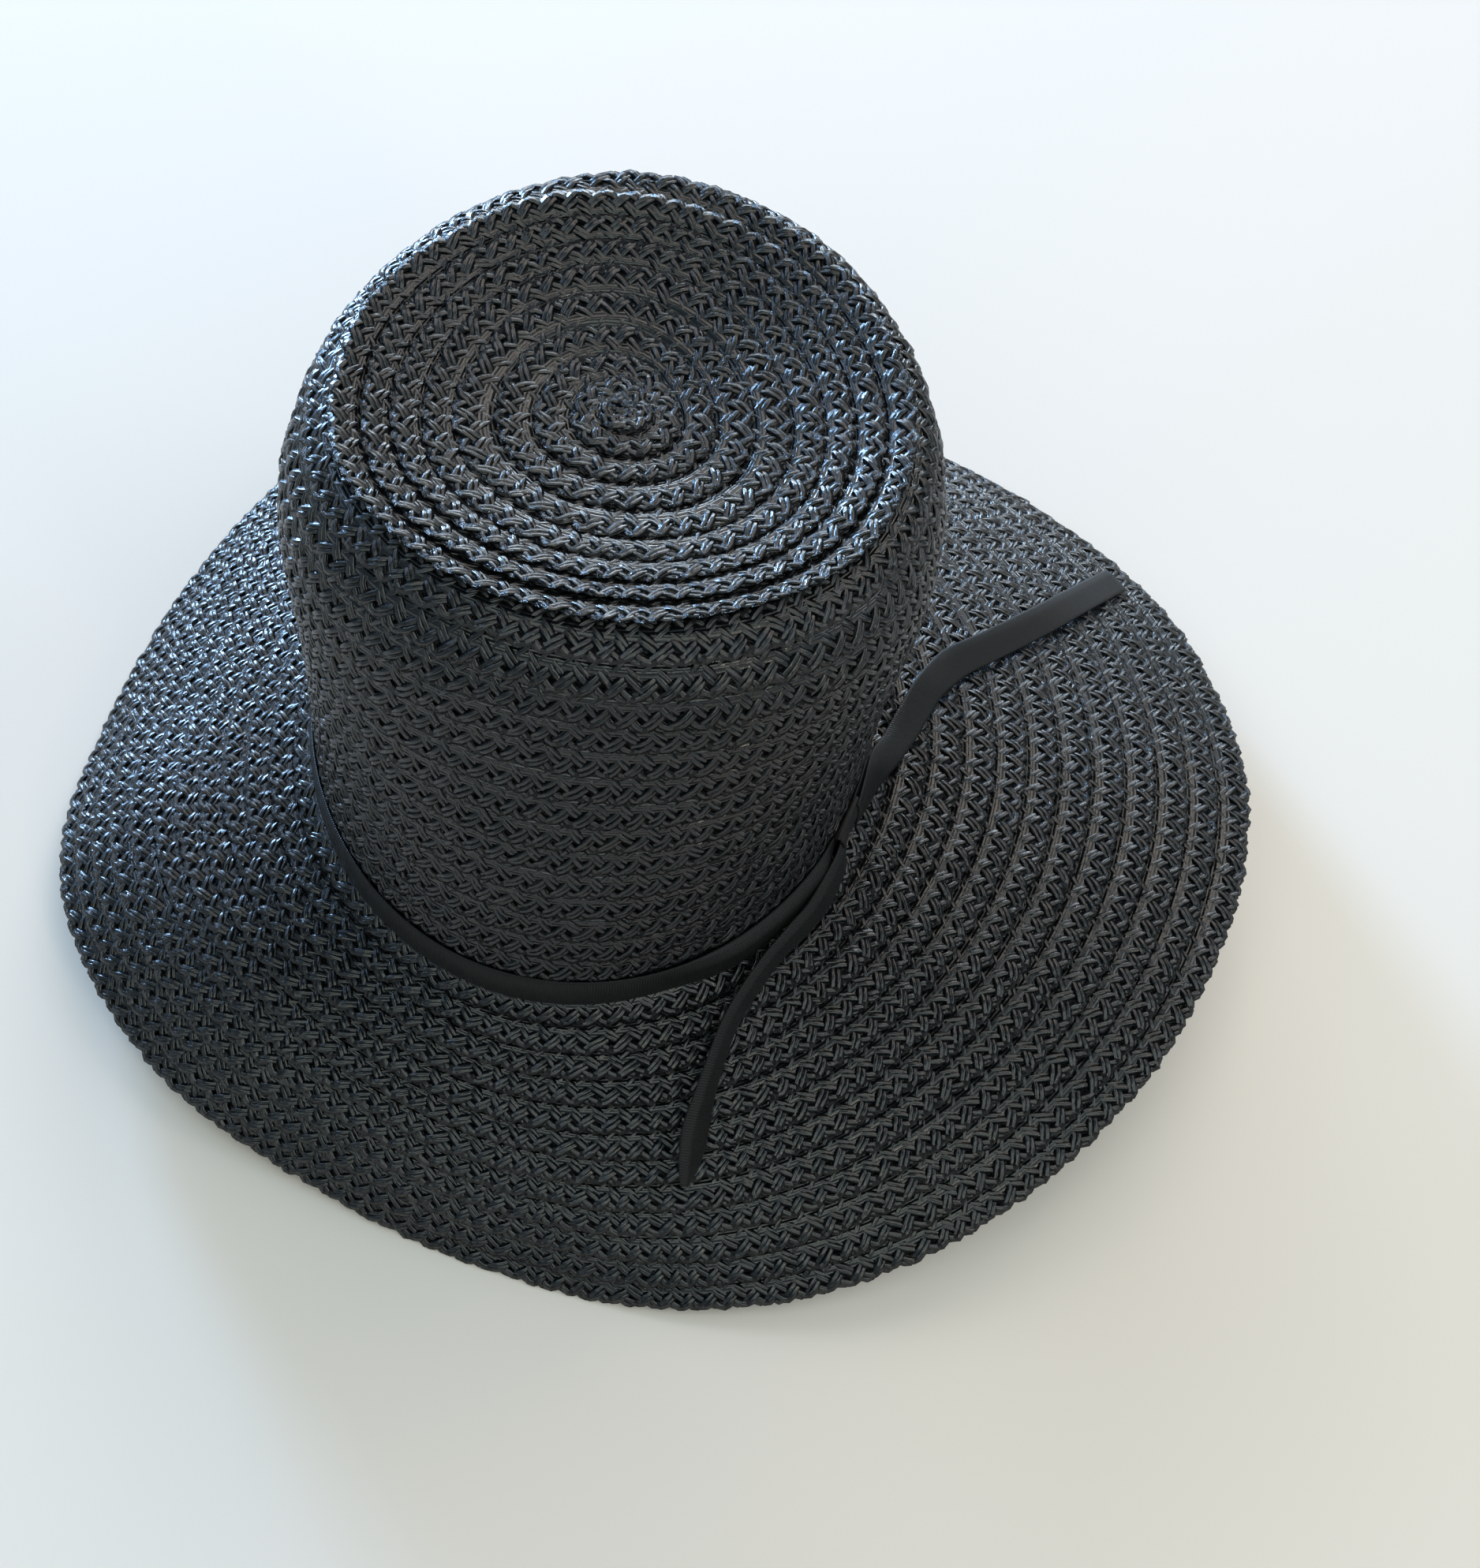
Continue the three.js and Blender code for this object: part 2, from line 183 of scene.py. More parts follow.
def crownOutline():
    s = crownSizes
    tipSteps, shoulderSteps, wallSteps = s["outlineSteps"]
    share = np.linspace(0, 1, tipSteps)
    hump = s["centreHump"] * np.exp(-(share / s["humpSpread"]) ** 2)
    tip = np.stack([s["rimHalf"][0] * share, s["rimHalf"][1] * share,
                    s["rimHeight"] - s["dishDepth"] * (1 - share ** 2) + hump], 1)
    turn = np.linspace(math.pi / 2, 0, shoulderSteps)
    across = np.clip(np.cos(turn), 0, 1) ** s["shoulderSquareness"]
    upright = np.sin(turn) ** s["shoulderSquareness"]
    shoulder = np.stack([s["rimHalf"][0] + (s["bulgeHalf"][0] - s["rimHalf"][0]) * across,
                         s["rimHalf"][1] + (s["bulgeHalf"][1] - s["rimHalf"][1]) * across,
                         s["bulgeHeight"] + (s["rimHeight"] - s["bulgeHeight"]) * upright], 1)
    down = np.linspace(0, 1, wallSteps)[1:]
    wall = np.stack([s["bulgeHalf"][0] + (s["footHalf"][0] - s["bulgeHalf"][0]) * down,
                     s["bulgeHalf"][1] + (s["footHalf"][1] - s["bulgeHalf"][1]) * down,
                     s["bulgeHeight"] * (1 - down)], 1)
    return tip, np.vstack([shoulder, wall])


def outlineReader(points):
    half = (points[:, 0] + points[:, 1]) / 2
    run, rise = np.diff(half), np.diff(points[:, 2])
    length = np.hypot(run, rise)
    reach = np.concatenate([[0], np.cumsum(length)])
    middle = (reach[1:] + reach[:-1]) / 2

    def read(share):
        place = np.clip(share, 0, 1) * reach[-1]
        spot = [np.interp(place, reach, points[:, k]) for k in range(3)]
        outward, upward = (np.interp(place, middle, part / length) for part in (-rise, run))
        return spot, unit(np.stack([outward, upward], -1))

    return read


tipOutline, sideOutline = crownOutline()
readTip, readSide = outlineReader(tipOutline), outlineReader(sideOutline)


def brimAt(azimuth, share):
    s = brimSizes
    measures = ("width", "fallInner", "fallOuter", "foldAt")
    width, inner, outer, fold = (aroundTable(s[key], azimuth) for key in measures)

    def slopeAt(t):
        turned = 1 / (1 + np.exp(-(t - fold) / s["foldSoftness"]))
        return np.radians(inner * (1 - turned) + outer * turned)

    out, height, parts = 0.0, 0.0, s["slopeSteps"]
    for k in range(parts):
        slope = slopeAt((k + 0.5) / parts * share)
        out = out + np.cos(slope) * width * share / parts
        height = height - np.sin(slope) * width * share / parts
    slope = slopeAt(share)
    foot = crownPoint(azimuth, *crownSizes["footHalf"], np.zeros_like(out), out)
    foot[..., 2] = height - s["footGap"]
    return foot, np.sin(slope), np.cos(slope)


def surfaceAt(azimuth, row):
    azimuth, row = np.broadcast_arrays(np.asarray(azimuth, float), np.asarray(row, float))
    onTip, onBrim = row < tipRows, row > footRow
    tipSpot, tipOff = readTip(np.interp(row, np.arange(tipRows + 1), rowPlan["tipEdges"]))
    sideSpot, sideOff = readSide((row - tipRows) / rowPlan["sideRows"])
    spot = [np.where(onTip, a, b) for a, b in zip(tipSpot, sideSpot)]
    off = np.where(onTip[..., None], tipOff, sideOff)
    crown = crownPoint(azimuth, *spot)
    brim, brimOut, brimUp = brimAt(azimuth, np.clip((row - footRow) / rowPlan["brimRows"], 0, 1))
    point = np.where(onBrim[..., None], brim, crown)
    outward = np.where(onBrim, brimOut, off[..., 0])
    upward = np.where(onBrim, brimUp, off[..., 1])
    halfX, halfY = (np.where(onBrim, crownSizes["footHalf"][k], np.maximum(spot[k], 1.0)) for k in (0, 1))
    cos, sin = np.cos(np.radians(azimuth)), np.sin(np.radians(azimuth))
    length = np.hypot(cos * halfY, sin * halfX)
    normal = np.stack([outward * cos * halfY / length, outward * sin * halfX / length, upward], -1)
    return point, unit(normal)


# The braid's one long path: level rings that step out by a row round the back.
def rowAt(turned):
    lap = np.floor(turned / 360.0)
    span = rowPlan["stepTo"] - rowPlan["stepFrom"]
    step = smooth((turned - 360.0 * lap - rowPlan["stepFrom"]) / span)
    return np.minimum(0.5 + lap + step, edgeRow - 0.5)


def wander(turned, seed):
    random = np.random.default_rng(seed)
    count = rowPlan["wanderWaves"]
    waves = zip(random.uniform(*rowPlan["wanderPace"], count), random.uniform(0, 2 * math.pi, count))
    return sum(np.sin(np.radians(turned) * pace + start) for pace, start in waves) / math.sqrt(count)


def braidEdges(turned):
    s = rowPlan
    row = rowAt(turned)
    inner = np.maximum(row - 0.5 - s["underlap"], 0.0)
    outer = row + 0.5 + s["rowWander"] * wander(turned, s["rowSeed"])
    innerPoint, innerOff = surfaceAt(turned, inner)
    outerPoint, outerOff = surfaceAt(turned, np.minimum(outer, edgeRow))

    # The rows stand up more at the left of the brim and at the front of the rim, and less on the tip.
    left = 0.5 + 0.5 * np.cos(np.radians(turned - s["leftTurn"]))
    left = left ** s["leftSharpness"] * smooth((row - footRow - 0.5) / s["leftSpread"])
    calm = 1 - s["tipSoftness"] * smooth((tipRows - 0.5 - row) / s["tipSpread"])
    rise = s["outerRise"] + s["riseWander"] * wander(turned, s["riseSeed"])
    rise = (rise + s["leftRise"] * left) * calm
    front = s["ridgeMean"] + s["ridgeSwing"] * np.cos(np.radians(turned - s["ridgeTurn"]))
    for ridgeRow, ridgeRise in zip(s["ridgeRows"], s["ridgeRise"]):
        rise = rise + ridgeRise * front * np.exp(-((row - ridgeRow) / s["ridgeSpread"]) ** 2)
    innerSink = s["innerSink"] * (s["tipSinkKept"] + (1 - s["tipSinkKept"]) * calm) - s["leftSink"] * left
    rimSink = s["rimSink"] * np.exp(-((row - tipRows - 0.5) / s["rimSpread"]) ** 2)

    # The braid's end slopes under the row before it.
    tuck = s["tuckSink"] * smooth((turned - 360.0 * (edgeRow - 1) - s["stepFrom"]) / s["tuckTurn"])
    low = innerPoint + innerOff * (innerSink + rimSink - tuck)[:, None]
    high = outerPoint + outerOff * (rise - tuck)[:, None]
    for side in (low, high):
        side[:, 2] = np.maximum(side[:, 2], s["floorClear"] - crownSizes["footPlace"][2])
    return low, high, innerOff + outerOff


def braidPath():
    turned = np.arange(rowPlan["firstTurn"], 360.0 * (edgeRow - 1) + rowPlan["endTurn"], 1.0)
    low, high = braidEdges(turned)[:2]
    reach = np.concatenate([[0], np.cumsum(np.linalg.norm(np.diff((low + high) / 2, axis=0), axis=1))])
    count = int(reach[-1] / rowPlan["pathStep"])
    turned = np.interp(np.linspace(0, reach[-1], count), reach, turned)
    low, high, off = braidEdges(turned)
    centre, across = (low + high) / 2, (high - low) / 2
    lift = unit(np.cross(np.gradient(centre, axis=0), across))
    lift *= np.sign((lift * off).sum(1, keepdims=True))
    along = np.linalg.norm(np.diff(centre + 0.5 * across, axis=0), axis=1)
    run = np.concatenate([[0], np.cumsum(along)])
    place = centre + np.array(crownSizes["footPlace"])
    return {"turned": turned, "place": place * mm, "across": across * mm, "lift": lift, "run": run * mm}


path = braidPath()
print("braid path of", round(float(path["run"][-1]), 1), "m in", len(path["run"]), "steps")


def addNode(tree, kind, values=None, **settings):
    made = tree.nodes.new(kind)
    for name, value in settings.items():
        setattr(made, name, value)
    for socket, value in (values or {}).items():
        if isinstance(value, bpy.types.NodeSocket):
            tree.links.new(value, made.inputs[socket])
        else:
            made.inputs[socket].default_value = value
    return made


def maths(tree, operation, a, b=None, clamp=False):
    values = {0: a} if b is None else {0: a, 1: b}
    return addNode(tree, "ShaderNodeMath", values, operation=operation, use_clamp=clamp).outputs[0]


def vectors(tree, operation, a, b):
    return addNode(tree, "ShaderNodeVectorMath", {0: a, 1: b}, operation=operation).outputs


def scaled(tree, vector, factor):
    return addNode(tree, "ShaderNodeVectorMath", {0: vector, "Scale": factor}, operation="SCALE").outputs[0]


def namedValue(tree, name, kind):
    return addNode(tree, "GeometryNodeInputNamedAttribute", {"Name": name}, data_type=kind).outputs[0]


# Straws go from edge to edge of the braid and back, over one and under the next. Sizes in metres.
plaitSizes = {
    "Strands": 4,
    "Straws Per Strand": 2,
    "Straw Spread": 0.0019,
    "Plait Length": 0.0256,
    "Straw Width": 0.0024,
    "Straw Thickness": 0.00045,
    "Weave Lift": 0.00037,
    "Edge Share": 0.90,
    "Row Curve": 0.00025,
    "Looseness": 0.42,
    "Backing Share": 0.94,
    "Backing Shift": -0.12,
    "Seed": 4.0,
}
plaitDetail = {
    "broadNoise": 45.0,
    "broadShare": 0.8,
    "smallNoise": 170.0,
    "heightShare": 4.0,
    "turnSharpness": 0.97,
    "sideHold": 3.0,
    "backingThickness": 0.03,
    "backingEvery": 4.0,
    "seedStep": 3.7,
    "legStep": 7.0,
    "toneSeed": 11,
}


def plaitTree():
    tree = bpy.data.node_groups.new("plaitedBraid", "GeometryNodeTree")
    face = tree.interface
    face.new_socket("Geometry", in_out="INPUT", socket_type="NodeSocketGeometry")
    for name, value in plaitSizes.items():
        kind = "NodeSocketInt" if isinstance(value, int) else "NodeSocketFloat"
        face.new_socket(name, in_out="INPUT", socket_type=kind).default_value = value
    face.new_socket("Straw Material", in_out="INPUT", socket_type="NodeSocketMaterial")
    face.new_socket("Backing Material", in_out="INPUT", socket_type="NodeSocketMaterial")
    face.new_socket("Geometry", in_out="OUTPUT", socket_type="NodeSocketGeometry")
    given = tree.nodes.new("NodeGroupInput").outputs
    across, lift = namedValue(tree, "across", "FLOAT_VECTOR"), namedValue(tree, "lift", "FLOAT_VECTOR")
    run = namedValue(tree, "run", "FLOAT")
    curve = addNode(tree, "GeometryNodeMeshToCurve", {0: given["Geometry"]}).outputs[0]
    each = given["Straws Per Strand"]
    count = maths(tree, "MULTIPLY", given["Strands"], each)
    copies = addNode(tree, "GeometryNodeDuplicateElements", {0: curve, "Amount": count}, domain="SPLINE")
    index = copies.outputs["Duplicate Index"]
    strand = maths(tree, "FLOOR", maths(tree, "DIVIDE", maths(tree, "ADD", index, 0.5), each))
    beside = maths(tree, "SUBTRACT", index, maths(tree, "MULTIPLY", strand, each))
    beside = maths(tree, "SUBTRACT", beside, maths(tree, "MULTIPLY", maths(tree, "SUBTRACT", each, 1.0), 0.5))

    # Where each straw is in its way across, as turns of a wave.
    fine = plaitDetail
    position = tree.nodes.new("GeometryNodeInputPosition").outputs[0]
    broad = addNode(tree, "ShaderNodeTexNoise", {"Vector": position, "Scale": fine["broadNoise"],
                    "Detail": 1.0, "W": given["Seed"]}, noise_dimensions="4D").outputs[0]
    shifted = maths(tree, "MULTIPLY", maths(tree, "SUBTRACT", broad, 0.5), fine["broadShare"])
    loose = maths(tree, "MULTIPLY", shifted, given["Looseness"])
    turns = maths(tree, "ADD", maths(tree, "DIVIDE", run, given["Plait Length"]), loose)
    turns = maths(tree, "ADD", turns, maths(tree, "DIVIDE", strand, given["Strands"]))
    crossing = maths(tree, "MULTIPLY", maths(tree, "MULTIPLY", turns, 2 * math.pi), given["Strands"])
    shift = maths(tree, "DIVIDE", given["Straw Spread"], given["Plait Length"])
    turns = maths(tree, "ADD", turns, maths(tree, "MULTIPLY", beside, shift))
    angle = maths(tree, "MULTIPLY", turns, 2 * math.pi)
    sharp = fine["turnSharpness"]
    swing = maths(tree, "ARCSINE", maths(tree, "MULTIPLY", maths(tree, "COSINE", angle), sharp))
    swing = maths(tree, "DIVIDE", swing, math.asin(sharp))
    side = maths(tree, "MULTIPLY", maths(tree, "SINE", angle), fine["sideHold"])
    side = maths(tree, "MAXIMUM", maths(tree, "MINIMUM", side, 1.0), -1.0)
    weave = maths(tree, "COSINE", crossing)
    weave = maths(tree, "MULTIPLY", maths(tree, "MULTIPLY", weave, side), -1.0)

    # Small differences from one straw to the next.
    ownSeed = maths(tree, "ADD", given["Seed"], maths(tree, "MULTIPLY", index, fine["seedStep"]))
    small = addNode(tree, "ShaderNodeTexNoise", {"Vector": position, "Scale": fine["smallNoise"],
                    "Detail": 0.0, "W": ownSeed}, noise_dimensions="4D").outputs[0]
    uneven = maths(tree, "MULTIPLY", maths(tree, "SUBTRACT", small, 0.5), given["Looseness"])
    reach = maths(tree, "ADD", given["Edge Share"], uneven)
    height = maths(tree, "ADD", weave, maths(tree, "MULTIPLY", uneven, fine["heightShare"]))
    height = maths(tree, "MULTIPLY", given["Weave Lift"], height)
    rolled = maths(tree, "SINE", maths(tree, "MULTIPLY", swing, math.pi))
    height = maths(tree, "ADD", height, maths(tree, "MULTIPLY", rolled, given["Row Curve"]))
    sideways = scaled(tree, across, maths(tree, "MULTIPLY", swing, reach))
    upwards = scaled(tree, lift, height)
    offset = vectors(tree, "ADD", sideways, upwards)[0]
    laid = addNode(tree, "GeometryNodeSetPosition", {0: copies.outputs[0], "Offset": offset}).outputs[0]
    legs = maths(tree, "FLOOR", maths(tree, "MULTIPLY", turns, 2.0))
    legId = maths(tree, "ADD", maths(tree, "MULTIPLY", legs, fine["legStep"]), index)
    tone = addNode(tree, "FunctionNodeRandomValue", {"ID": legId, "Seed": fine["toneSeed"]},
                   data_type="FLOAT").outputs[1]

    # A flat straw is swept along each line, with its broad side facing off the hat.
    turned = addNode(tree, "GeometryNodeSetCurveNormal", {0: laid}, mode="FREE")
    tree.links.new(lift, turned.inputs["Normal"])
    toned = turned.outputs[0]
    for label, value in (("tone", tone), ("along", run), ("rowPlace", swing)):
        toned = addNode(tree, "GeometryNodeStoreNamedAttribute", {0: toned, "Name": label, "Value": value},
                        data_type="FLOAT", domain="POINT").outputs[0]
    width = maths(tree, "DIVIDE", given["Straw Width"], 2.0)
    thick = maths(tree, "DIVIDE", given["Straw Thickness"], 2.0)
    straws = sweep(tree, toned, width, thick)

    # A thin backing strip closes the small holes between the straws; it takes a darker copy of the straw
    # material, as painted shade.
    points = tree.nodes.new("GeometryNodeSplineLength").outputs["Point Count"]
    fewer = maths(tree, "DIVIDE", points, fine["backingEvery"])
    coarse = addNode(tree, "GeometryNodeResampleCurve", {0: curve, "Count": fewer}).outputs[0]
    inwards = scaled(tree, across, given["Backing Shift"])
    coarse = addNode(tree, "GeometryNodeSetPosition", {0: coarse, "Offset": inwards}).outputs[0]
    flat = addNode(tree, "GeometryNodeSetCurveNormal", {0: coarse}, mode="FREE")
    tree.links.new(lift, flat.inputs["Normal"])
    size = addNode(tree, "ShaderNodeVectorMath", {0: across}, operation="LENGTH").outputs["Value"]
    size = maths(tree, "MULTIPLY", size, given["Backing Share"])
    backing = sweep(tree, flat.outputs[0], 1.0, fine["backingThickness"], size)
    marked = addNode(tree, "GeometryNodeStoreNamedAttribute", {0: backing, "Name": "isBacking", "Value": 1.0},
                     data_type="FLOAT", domain="FACE").outputs[0]
    joined = tree.nodes.new("GeometryNodeJoinGeometry")
    for part in (marked, straws):
        tree.links.new(part, joined.inputs[0])
    real = addNode(tree, "GeometryNodeRealizeInstances", {0: joined.outputs[0]}).outputs[0]
    isBacking = maths(tree, "GREATER_THAN", namedValue(tree, "isBacking", "FLOAT"), 0.5)
    done = addNode(tree, "GeometryNodeSetMaterial", {0: real, "Material": given["Straw Material"]}).outputs[0]
    done = addNode(tree, "GeometryNodeSetMaterial", {0: done, "Selection": isBacking,
                   "Material": given["Backing Material"]}).outputs[0]
    addNode(tree, "NodeGroupOutput", {0: done})
    return tree


def sweep(tree, curve, halfWidth, halfThick, scale=None):
    ring = {"Resolution": 3, "Radius": 2 / math.sqrt(3)}  # a triangle that is 2 wide
    ring = addNode(tree, "GeometryNodeCurvePrimitiveCircle", ring).outputs[0]
    place = tree.nodes.new("GeometryNodeInputPosition").outputs[0]
    y = addNode(tree, "ShaderNodeSeparateXYZ", {0: place}).outputs["Y"]
    named = addNode(tree, "GeometryNodeStoreNamedAttribute", {0: ring, "Name": "acrossStraw", "Value": y},
                    data_type="FLOAT", domain="POINT").outputs[0]
    shape = addNode(tree, "ShaderNodeCombineXYZ", {0: halfThick, 1: halfWidth, 2: 1.0}).outputs[0]
    profile = addNode(tree, "GeometryNodeTransform", {0: named, "Scale": shape}).outputs[0]
    values = {0: curve, 1: profile, "Fill Caps": True}
    if scale is not None:
        values["Scale"] = scale
    return addNode(tree, "GeometryNodeCurveToMesh", values).outputs[0]


def shaderGroup(name, inputs, outputs):
    tree = bpy.data.node_groups.new(name, "ShaderNodeTree")
    for label, value in inputs.items():
        kind = "NodeSocketVector" if isinstance(value, tuple) else "NodeSocketFloat"
        tree.interface.new_socket(label, in_out="INPUT", socket_type=kind).default_value = value
    for label in outputs:
        tree.interface.new_socket(label, in_out="OUTPUT", socket_type="NodeSocketFloat")
    return tree, tree.nodes.new("NodeGroupInput").outputs


def summed(tree, *terms):
    total = terms[0]
    for term in terms[1:]:
        total = maths(tree, "ADD", total, term)
    return total


# How far each part of a fine straw's relief stands up, how its tone is mixed, and how sharply painted shade
# darkens the crevices at its edges.
fineStrawShape = {
    "bendEvery": 0.4,
    "bend": 0.9,
    "rounding": 0.16,
    "sideTilt": 0.30,
    "endTilt": 0.80,
    "streak": 0.22,
    "streakAcross": 1.6,
    "toneStep": 37.0,
    "lengthStep": 0.37,
    "ownShade": 0.5,
    "streakShade": 0.9,
    "shadeLoss": -0.2,
    "gapSharpness": 5.0,
}


# Thin round straws side by side along a strip, each with its own slope and tone, and a mask of painted shade
# in the crevices between them.
def fineStrawGroup():
    tree, given = shaderGroup("fineStraws", {"Across": 0.0, "Along": 0.0, "Tone": 0.5, "Count": 4.0,
                              "Streak Length": 0.004}, ("Height", "Shade", "Gap Shade"))
    shape = fineStrawShape
    place = maths(tree, "MULTIPLY", maths(tree, "ADD", given["Across"], 1.0), 0.5)
    place = maths(tree, "MULTIPLY", place, given["Count"])
    drawn = maths(tree, "DIVIDE", given["Along"], given["Streak Length"])
    ownTone = maths(tree, "MULTIPLY", given["Tone"], shape["toneStep"])
    bend = maths(tree, "MULTIPLY", drawn, shape["bendEvery"])
    bend = addNode(tree, "ShaderNodeCombineXYZ", {0: bend, 1: ownTone}).outputs[0]
    bend = addNode(tree, "ShaderNodeTexNoise", {"Vector": bend, "Scale": 1.0, "Detail": 0.0}).outputs[0]
    bend = maths(tree, "MULTIPLY", maths(tree, "SUBTRACT", bend, 0.5), shape["bend"])
    place = maths(tree, "ADD", place, bend)
    index, part = maths(tree, "FLOOR", place), maths(tree, "FRACT", place)
    off = maths(tree, "SUBTRACT", maths(tree, "MULTIPLY", part, 2.0), 1.0)
    rounded = maths(tree, "SUBTRACT", 1.0, maths(tree, "MULTIPLY", off, off))
    shifted = maths(tree, "ADD", drawn, maths(tree, "MULTIPLY", index, shape["lengthStep"]))
    length = maths(tree, "FLOOR", shifted)
    length = addNode(tree, "ShaderNodeCombineXYZ", {0: index, 1: ownTone, 2: length}).outputs[0]
    random = addNode(tree, "ShaderNodeTexWhiteNoise", {"Vector": length}, noise_dimensions="3D").outputs
    own = random[0]
    tilts = addNode(tree, "ShaderNodeSeparateXYZ", {0: random["Color"]}).outputs
    aside = maths(tree, "MULTIPLY", maths(tree, "SUBTRACT", tilts[0], 0.5), off)
    down = maths(tree, "SUBTRACT", maths(tree, "FRACT", shifted), 0.5)
    lengthwise = maths(tree, "MULTIPLY", maths(tree, "SUBTRACT", tilts[1], 0.5), down)
    spot = maths(tree, "MULTIPLY", place, shape["streakAcross"])
    spot = addNode(tree, "ShaderNodeCombineXYZ", {0: spot, 1: drawn, 2: ownTone}).outputs[0]
    streak = addNode(tree, "ShaderNodeTexNoise", {"Vector": spot, "Scale": 1.0, "Detail": 2.0}).outputs[0]
    height = summed(tree, maths(tree, "MULTIPLY", rounded, shape["rounding"]),
                    maths(tree, "MULTIPLY", aside, shape["sideTilt"]),
                    maths(tree, "MULTIPLY", lengthwise, shape["endTilt"]),
                    maths(tree, "MULTIPLY", streak, shape["streak"]))
    shade = summed(tree, maths(tree, "MULTIPLY", own, shape["ownShade"]),
                   maths(tree, "MULTIPLY", streak, shape["streakShade"]), shape["shadeLoss"])
    # Painted shade: a mask that is strongest at the edges of each fine straw, where the straws meet.
    gapShade = maths(tree, "POWER", maths(tree, "ABSOLUTE", off), shape["gapSharpness"])
    addNode(tree, "NodeGroupOutput", {0: height, 1: maths(tree, "MAXIMUM", shade, 0.0), 2: gapShade})
    return tree


crinkleShape = {
    "noiseScale": 0.7,
    "drift": 0.8,
}


# Small flat facets at random slopes, as in crinkled fibre.
def crinkleGroup():
    inputs = {"Place": (0.0, 0.0, 0.0), "Size": 0.0012, "Unevenness": 0.4}
    tree, given = shaderGroup("crinkle", inputs, ("Height", "Fleck"))
    enlarged = scaled(tree, given["Place"], maths(tree, "DIVIDE", 1.0, given["Size"]))
    noise = {"Vector": enlarged, "Scale": crinkleShape["noiseScale"], "Detail": 2.0}
    noise = addNode(tree, "ShaderNodeTexNoise", noise)
    drift = scaled(tree, noise.outputs["Color"], crinkleShape["drift"])
    moved = vectors(tree, "ADD", enlarged, drift)[0]
    cells = addNode(tree, "ShaderNodeTexVoronoi", {"Vector": moved, "Scale": 1.0}).outputs
    slope = vectors(tree, "SUBTRACT", cells["Color"], (0.5, 0.5, 0.5))[0]
    inside = vectors(tree, "SUBTRACT", moved, cells["Position"])[0]
    facet = vectors(tree, "DOT_PRODUCT", slope, inside)["Value"]
    height = summed(tree, facet, maths(tree, "MULTIPLY", noise.outputs[0], given["Unevenness"]))
    fleck = addNode(tree, "ShaderNodeSeparateXYZ", {0: cells["Color"]}).outputs[0]
    addNode(tree, "NodeGroupOutput", {0: height, 1: fleck})
    return tree


fineStraws, crinkle = fineStrawGroup(), crinkleGroup()


def placeGroup(tree, group, values):
    return addNode(tree, "ShaderNodeGroup", values, node_tree=group).outputs


def mixed(tree, share, first, second):
    made = addNode(tree, "ShaderNodeMix", {0: share}, data_type="RGBA")
    for socket, value in ((6, first), (7, second)):  # the colour sockets of a Mix node
        if isinstance(value, bpy.types.NodeSocket):
            tree.links.new(value, made.inputs[socket])
        else:
            made.inputs[socket].default_value = (*value, 1)
    return made.outputs[2]


def spread(tree, value, low, high):
    return addNode(tree, "ShaderNodeMapRange", {"Value": value, "To Min": low, "To Max": high}).outputs[0]


def newMaterial(name, constants):
    material = bpy.data.materials.new(name)
    material.use_nodes = True
    tree = material.node_tree
    shader = tree.nodes["Principled BSDF"]
    for socket, value in constants.items():
        shader.inputs[socket].default_value = value
    return material, tree, shader.inputs


strawLook = {
    "dark": (0.0026, 0.0030, 0.0040),
    "light": (0.0095, 0.0104, 0.0125),
    "brown": (0.0115, 0.0095, 0.0075),
    # the colour of the painted shade in the grooves between rows and the crevices between fine straws
    "gapShade": (0.0018, 0.0018, 0.0021),
    "fineStraws": 2.0,
    "backingFineStraws": 9.0,
    "backingPaintedShade": 0.4,
    "streakLength": 0.0035,
    "facetSize": 0.0021,
    "facetShare": 0.35,
    "patchScale": 60.0,
    "patchShare": (-0.9, 1.1),
    "glossiest": 0.14,
    "dullest": 0.36,
    "grooveFrom": -0.4,
    "grooveTo": -0.95,
    "grooveDull": 0.25,
    "depth": 0.0006,
}


